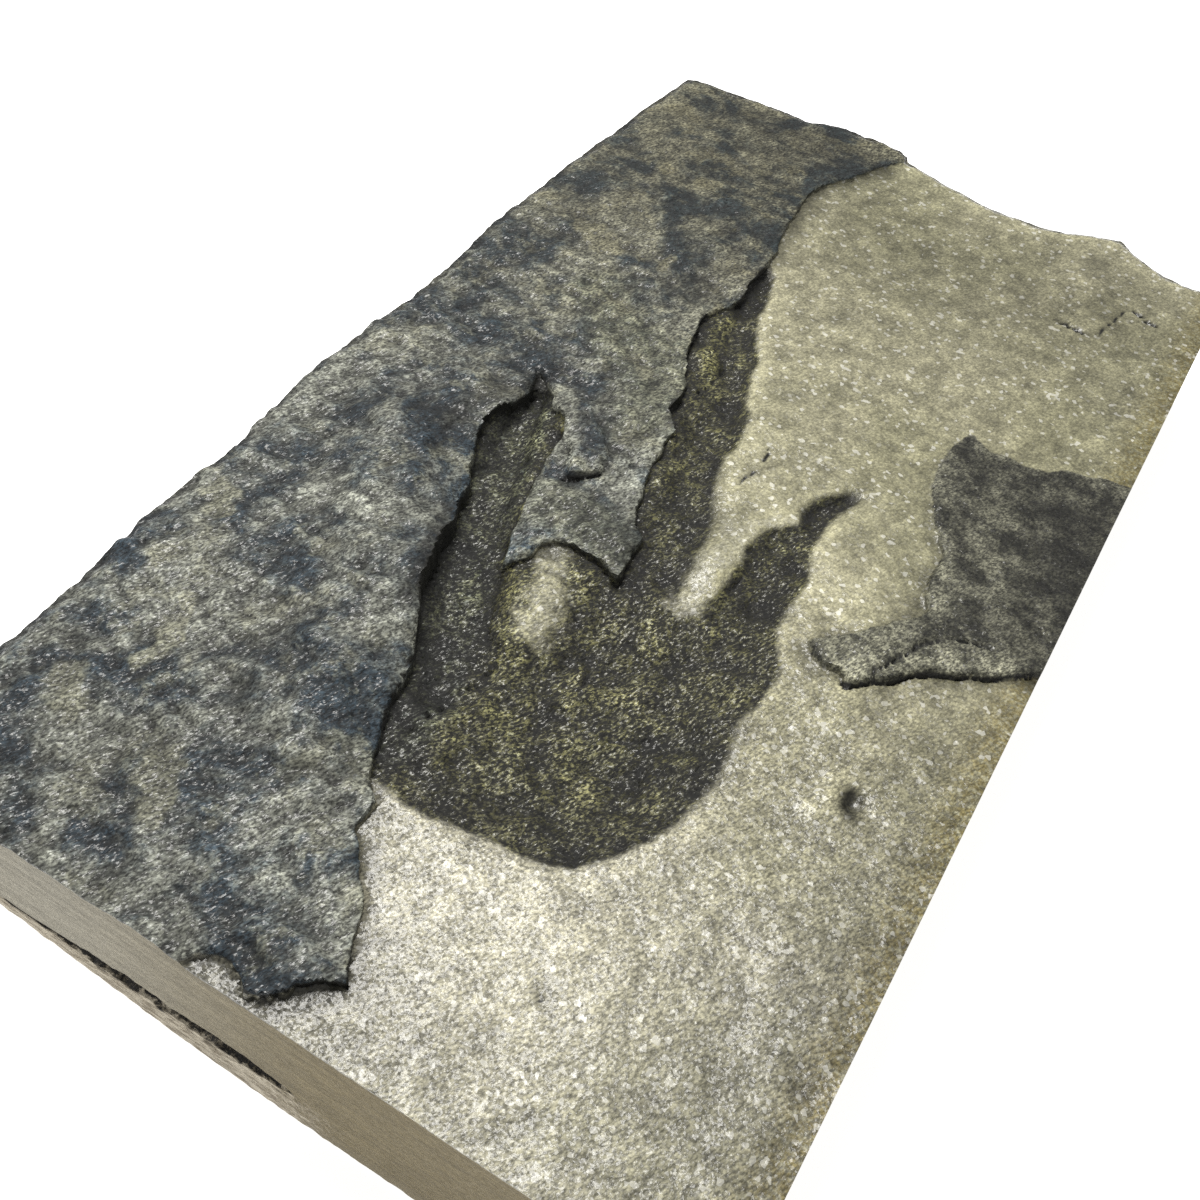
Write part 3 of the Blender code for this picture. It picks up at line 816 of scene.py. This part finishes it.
    def pits(self, size):
        """1 on the grains, falling to 0 in the pits between them."""
        return self.fade(self.cells(size, output="Distance"), 0.35, 0.75, 1.0, 0.0)

    def tilted(self, cells, amount):
        """The surface's own direction, with each grain tilted its own way."""
        away = self.vector("SUBTRACT", cells, (0.5, 0.5, 0.5))
        plain = self.add("ShaderNodeNewGeometry").outputs["Normal"]
        turned = self.vector("ADD", plain, self.vector("SCALE", away, amount))
        made = self.add("ShaderNodeVectorMath", operation="NORMALIZE")
        self.put(made.inputs[0], turned)
        return made.outputs[0]


def pale_stone(s, grains):
    """Greenish tan fine sandstone: each grain has its own tone, and some grains get a painted glint."""
    broad = s.fade(s.noise(38.0, 3.0), 0.35, 0.65)
    base = s.mix(broad, (0.30, 0.287, 0.182), (0.335, 0.318, 0.213))
    base = s.speckle(base, s.noise(5.0, 5.0, 0.65), 0.7, 1.25, 0.3, 0.7)
    base = s.speckle(base, s.grain(grains), 0.8, 1.2, 0.0, 1.0)
    soft = s.fade(s.dashes(0.5), 0.3, 0.7, 0.75, 1.25)
    crisp = s.fade(s.dashes(GRAIN_SIZE), 0.32, 0.68, 0.5, 1.55)
    base = s.shade(base, s.mix_value(s.fade(s.y, 20.0, -60.0), soft, crisp))
    # Painted sheen: the pale bed is made greyer towards the front.
    base = s.tinted(base, s.mix(s.fade(s.y, -95.0, -45.0), (1.0, 1.0, 1.12), (1.0, 1.0, 1.0)))
    rusty = s.maths("MULTIPLY", s.fade(s.x, 62.0, 71.5), s.fade(s.noise(1.0, 5.0, 0.75), 0.4, 0.56))
    base = s.mix(rusty, base, s.tinted(base, (0.7, 0.62, 0.4)))
    base = s.speckle(base, s.pits(GRAIN_SIZE), 0.82, 1.06, 0.0, 1.0)
    # Painted glint: a few grains are mixed half way to near white.
    painted_glints = s.fade(s.grain(s.cells(0.75)), 0.93, 0.97)
    return s.mix(s.maths("MULTIPLY", painted_glints, 0.5), base, (0.86, 0.85, 0.78))


def washed_and_lit_stone(s):
    """The brightest stone, where the film is gone and on the hump's painted highlight: pale grains with
    dark ones between.
    """
    return s.speckle((0.6, 0.59, 0.53), s.dashes(0.36), 0.25, 1.6)


def film_on(s, pale, tints, brightest, cracks, lumps):
    """A dark mottled film over the pale bed, speckled by grains and crossed by fine cracks.

    tints are its darkest and lightest, cracks their size, width and depth, and lumps their size,
    darkest and lightest.
    """
    tint = s.mix(s.fade(s.noise(6.0, 5.0, 0.6), 0.34, 0.67), *tints)
    tint = s.speckle(tint, s.dashes(0.45), 0.12, brightest, 0.42, 0.6)
    tint = s.shade(tint, s.creases(*cracks))
    size, darkest, lightest = lumps
    tint = s.speckle(tint, s.noise(size, 3.0, 0.6), darkest, lightest)
    return s.tinted(pale, tint)


def track_film(s, pale):
    """The olive film that darkens the pale bed inside the track."""
    tints = (0.04, 0.04, 0.023), (0.265, 0.267, 0.18)
    return film_on(s, pale, tints, 2.5, (4.5, 0.03, 0.35), (1.7, 0.6, 1.35))


def slate_film(s, pale):
    """The grey film along the outer toe."""
    tints = (0.035, 0.042, 0.043), (0.3, 0.325, 0.3)
    return film_on(s, pale, tints, 2.7, (4.0, 0.04, 0.3), (1.9, 0.5, 1.45))


def dark_stone(s, grains):
    """Blue-grey slaty siltstone in dark and light clouds, olive and khaki in places."""
    clouds = s.fade(s.noise(15.0, 8.0, 0.68, distortion=0.4), 0.42, 0.58)
    base = s.mix(clouds, (0.017, 0.026, 0.034), (0.15, 0.155, 0.132))
    mottle = s.fade(s.noise(3.0, 5.0, 0.7), 0.38, 0.62)
    olive = s.mix(mottle, (0.055, 0.06, 0.045), (0.15, 0.155, 0.115))
    base = s.mix(s.fade(s.mark("olive"), 0.15, 0.9, 0.0, 0.85), base, olive)
    base = s.speckle(base, s.dashes(1.4, 3.0), 0.6, 1.4, 0.32, 0.68)
    base = s.shade(base, s.creases(5.0, 0.03, 0.55, s.stretch((0.5, 1.0, 1.0), STREAK_TURN)))
    patches = s.maths("MULTIPLY", s.fade(s.noise(9.0, 8.0, 0.7), 0.52, 0.62), 0.7)
    worn = s.maths("ADD", s.mark("worn"), s.maths("MULTIPLY", s.noise(2.5, 5.0, 0.65), 0.9))
    khaki = s.maths("MAXIMUM", patches, s.fade(worn, 0.7, 1.15))
    base = s.mix(s.maths("MULTIPLY", khaki, 0.7), base, (0.18, 0.178, 0.13))
    base = s.speckle(base, s.grain(grains), 0.75, 1.25, 0.0, 1.0)
    return s.speckle(base, s.dashes(0.4), 0.32, 1.85, 0.34, 0.66)


def old_brown(s, base):
    """The dark bed turns from blue-grey in front to brown-grey at the back."""
    return s.tinted(base, s.mix(s.fade(s.y, -40.0, 90.0), (1.0, 1.0, 1.0), (0.72, 0.67, 0.54)))


def remnant_stone(s):
    """The dark brown-grey film at the right, with black blotches."""
    mottle = s.fade(s.noise(6.0, 7.0, 0.7), 0.37, 0.62)
    base = s.mix(mottle, (0.016, 0.016, 0.011), (0.125, 0.123, 0.09))
    base = s.speckle(base, s.noise(1.1, 4.0, 0.7), 0.5, 1.5, 0.35, 0.68)
    return s.speckle(base, s.dashes(0.36), 0.4, 1.7)


def sawn_stone(s):
    """The sawn faces: smooth grey-tan with thin level beds, browner towards the right."""
    beds = s.noise(1.0, 4.0, 0.6, s.stretch((0.04, 0.04, 0.9)))
    base = s.mix(s.fade(beds, 0.3, 0.7), (0.27, 0.25, 0.195), (0.36, 0.335, 0.265))
    base = s.mix(s.fade(s.x, -38.0, 18.0), base, s.tinted(base, (0.6, 0.52, 0.34)))
    base = s.speckle(base, s.noise(0.8, 3.0, 0.6, s.stretch((0.25, 0.25, 1.0))), 0.9, 1.1, 0.3, 0.7)
    return s.speckle(base, s.noise(0.35, 3.0, 0.7), 0.86, 1.14, 0.3, 0.7)


def broken_stone(s):
    """The broken sides and the underside: rough sandstone with darker beds."""
    beds = s.noise(2.2, 4.0, 0.6, s.stretch((0.12, 0.12, 1.0)))
    base = s.mix(s.fade(beds, 0.35, 0.65), (0.20, 0.18, 0.13), (0.38, 0.35, 0.27))
    return s.speckle(base, s.noise(0.5, 4.0, 0.7), 0.7, 1.3, 0.3, 0.7)


def find_shares(s):
    """How much each bed and film shows at a place, from 0 to 1, with ragged ends."""
    ragged = s.centred(s.noise(0.9, 4.0, 0.7), 1.2)
    bare_and_lit = s.maths("ADD", s.mark("bare_and_lit"), s.centred(s.noise(2.0, 6.0, 0.8), 2.2))

    def inside(name, low, high):
        return s.fade(s.maths("ADD", s.mark(name), ragged), low, high)

    # At the hump below the plate the film is taken away as a painted highlight.
    in_track = s.maths("MULTIPLY", inside("track", -0.4, 1.3), s.fade(bare_and_lit, 0.1, 1.0, 1.0, 0.3))
    remnant = inside("remnant", -0.2, 0.3)
    return {
        "in_track": in_track,
        "remnant": remnant,
        "filmed": s.maths("MAXIMUM", in_track, remnant),
        "trodden": inside("track", -0.3, 0.8),
        "dark": s.fade(s.mark("dark_bed"), -STEP_HALF_WIDTH, STEP_HALF_WIDTH),
        "lower": inside("lower", 0.3, 0.8),
        "upper": s.fade(s.mark("upper"), 0.2, 0.6),
    }


def bed_colour(s, grains, shares):
    """The upper surface: the pale bed, the films on it, the remnant, the dark bed, the cracks."""
    pale = pale_stone(s, grains)
    film = s.mix(s.fade(s.mark("slate"), 0.3, 0.7), track_film(s, pale), slate_film(s, pale))
    # A little of the brightest stone where the film is gone, which on the hump is painted highlight.
    pale = s.mix(s.fade(s.mark("bare_and_lit"), 0.3, 1.0, 0.0, 0.14), pale, washed_and_lit_stone(s))
    colour = s.mix(shares["in_track"], pale, film)
    colour = s.mix(shares["remnant"], colour, remnant_stone(s))
    colour = s.mix(shares["dark"], colour, old_brown(s, dark_stone(s, grains)))
    # Tones: partly the stone's own, partly painted light and shade.
    colour = s.shade(colour, s.mark("tone"))
    # Painted shade in hollows and painted light on crests, from how far each point lies below its
    # surroundings.
    colour = s.speckle(colour, s.mark("hollow"), 1.45, 0.35, -0.45, 0.5)
    # Painted shade: the cracks and the steep walls of the dark bed's steps are made near black.
    cracks = s.maths("MAXIMUM", s.fade(s.mark("crack"), 0.25, 0.8), s.fade(s.mark("wall"), 0.25, 0.8))
    return s.mix(cracks, colour, (0.012, 0.012, 0.01))


def side_colour(s, shares):
    """The sides and the underside: sawn or broken, the rough lower bed, and the parting painted dark as
    stain and as the shade inside it.
    """
    colour = s.mix(s.fade(s.mark("sawn"), 0.4, 0.6), broken_stone(s), sawn_stone(s))
    flakes = s.fade(s.noise(0.9, 4.0, 0.7, s.stretch((0.3, 0.3, 1.0))), 0.35, 0.65)
    colour = s.mix(shares["lower"], colour, s.mix(flakes, (0.22, 0.18, 0.12), (0.6, 0.54, 0.42)))
    # The parting's dark: part stain, part painted shade in the gap.
    mottle_of_stain_and_shade = s.fade(s.noise(0.8, 4.0, 0.7), 0.5, 0.62)
    stain_and_shade_colour = s.mix(mottle_of_stain_and_shade, (0.013, 0.011, 0.008), (0.13, 0.11, 0.075))
    parting = s.maths("ADD", s.mark("parting"), s.centred(flakes, -0.35))
    return s.mix(s.fade(parting, 0.2, 0.45), colour, stain_and_shade_colour)


def finest_relief(s, shares):
    """The height of the finest bumps, in millimetres."""
    pale = s.maths("MULTIPLY", s.noise(0.7, 2.0, 0.5), 0.12)
    pressed = s.maths("ADD", pale, s.maths("MULTIPLY", s.crinkle(5.0), 0.26))
    pressed = s.maths("ADD", pressed, s.maths("MULTIPLY", s.dashes(1.0), 0.32))
    folds = s.crinkle(7.0, s.stretch((0.55, 1.0, 1.0), STREAK_TURN))
    slaty = s.maths("ADD", s.maths("MULTIPLY", s.dashes(1.1), 0.42), s.maths("MULTIPLY", folds, 0.22))
    height = s.mix_value(shares["trodden"], pale, pressed)
    return s.mix_value(s.maths("MULTIPLY", shares["dark"], shares["upper"]), height, slaty)


def find_gloss(s, shares):
    """The roughness: glossy grains in the pale bed, and matt dark stone with glossy dashes."""
    other_grains = s.cells(GRAIN_SIZE, place=s.vector("ADD", s.place, (7.0, 3.0, 5.0)))
    pale = s.fade(s.grain(other_grains), 0.7, 0.95, 0.3, 0.7)
    film = s.fade(s.dashes(0.45), 0.5, 0.62, MATT, 0.3)
    dark = s.fade(s.dashes(0.5, 3.0), 0.48, 0.6, MATT, 0.31)
    gloss = s.mix_value(shares["dark"], s.mix_value(shares["filmed"], pale, film), dark)
    return s.mix_value(shares["upper"], MATT, gloss)


def slab_material():
    """The stone of the whole slab. The mesh's marks say which bed shows where."""
    s = Shader("bedded_stone")
    grains = s.cells(GRAIN_SIZE)
    shares = find_shares(s)
    colour = s.mix(shares["upper"], side_colour(s, shares), bed_colour(s, grains, shares))
    s.put(s.main.inputs["Base Color"], colour)
    tilt = s.mix_value(shares["dark"], s.mix_value(shares["filmed"], 0.22, 0.42), 0.24)
    inputs = {
        "Height": finest_relief(s, shares), "Normal": s.tilted(grains, tilt),
        "Strength": 0.9, "Distance": MM,
    }
    s.put(s.main.inputs["Normal"], s.add("ShaderNodeBump", inputs).outputs[0])
    s.put(s.main.inputs["Roughness"], find_gloss(s, shares))
    s.put(s.main.inputs["Specular IOR Level"], 0.6)
    return s.material


# --- the studio ---

# The camera's place in metres, and its own right, up and back directions.
CAMERA_PLACE = (0.0635, -0.186, 0.205)
CAMERA_RIGHT = (0.855, 0.505, 0.119)
CAMERA_UP = (-0.450, 0.606, 0.656)
CAMERA_BACK = (0.259, -0.614, 0.745)
LENS = 42.0

KEY_PLACE = (-0.20, 0.11, 0.60)
KEY_TARGET = (0.0, -0.02, 0.03)
KEY_SIZE = 0.28
KEY_POWER = 4.4
KEY_COLOUR = (1.0, 0.985, 0.94)
SURROUND = 0.28
FLOOR_SIZE = 6.0
FLOOR_GLOW = 0.8
WHITE = (1.0, 1.0, 1.0, 1.0)


def make_camera():
    """A wide lens close above the slab, in front of its right corner, looking back and left."""
    data = bpy.data.cameras.new("camera")
    data.lens = LENS
    data.sensor_width = 36.0
    data.clip_start = 0.01
    camera = bpy.data.objects.new("camera", data)
    turn = Matrix((CAMERA_RIGHT, CAMERA_UP, CAMERA_BACK)).transposed().to_quaternion()
    camera.matrix_world = Matrix.Translation(CAMERA_PLACE) @ turn.to_matrix().to_4x4()
    bpy.context.collection.objects.link(camera)
    bpy.context.scene.camera = camera


def make_key_light():
    """One soft light, high up behind the slab's left side."""
    data = bpy.data.lights.new("key", "AREA")
    data.size = KEY_SIZE
    data.energy = KEY_POWER
    data.color = KEY_COLOUR
    light = bpy.data.objects.new("key", data)
    light.rotation_mode = "QUATERNION"
    light.matrix_world = Matrix.Translation(KEY_PLACE)
    light.rotation_quaternion = Vector(np.subtract(KEY_PLACE, KEY_TARGET)).to_track_quat("Z", "Y")
    bpy.context.collection.objects.link(light)


def make_floor():
    """A plain white floor that glows a little, so that it stays pale all over."""
    bpy.ops.mesh.primitive_plane_add(size=FLOOR_SIZE, location=(0, 0, 0))
    floor = bpy.context.active_object
    floor.name = "floor"
    paint = bpy.data.materials.new("floor_white")
    paint.use_nodes = True
    shader = paint.node_tree.nodes["Principled BSDF"]
    shader.inputs["Base Color"].default_value = (0.95, 0.95, 0.95, 1.0)
    shader.inputs["Roughness"].default_value = 0.9
    shader.inputs["Emission Color"].default_value = WHITE
    shader.inputs["Emission Strength"].default_value = FLOOR_GLOW
    floor.data.materials.append(paint)


def make_studio():
    """The key light, a dim even surround and the floor."""
    scene = bpy.context.scene
    scene.view_settings.view_transform = "Standard"
    scene.cycles.use_denoising = False
    world = bpy.data.worlds.new("studio")
    world.use_nodes = True
    background = world.node_tree.nodes["Background"].inputs
    background["Color"].default_value = WHITE
    background["Strength"].default_value = SURROUND
    scene.world = world
    make_key_light()
    make_floor()


slab = build_slab()
slab.data.materials.append(slab_material())
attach(slab, "root")
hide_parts(NODE)
make_camera()
make_studio()
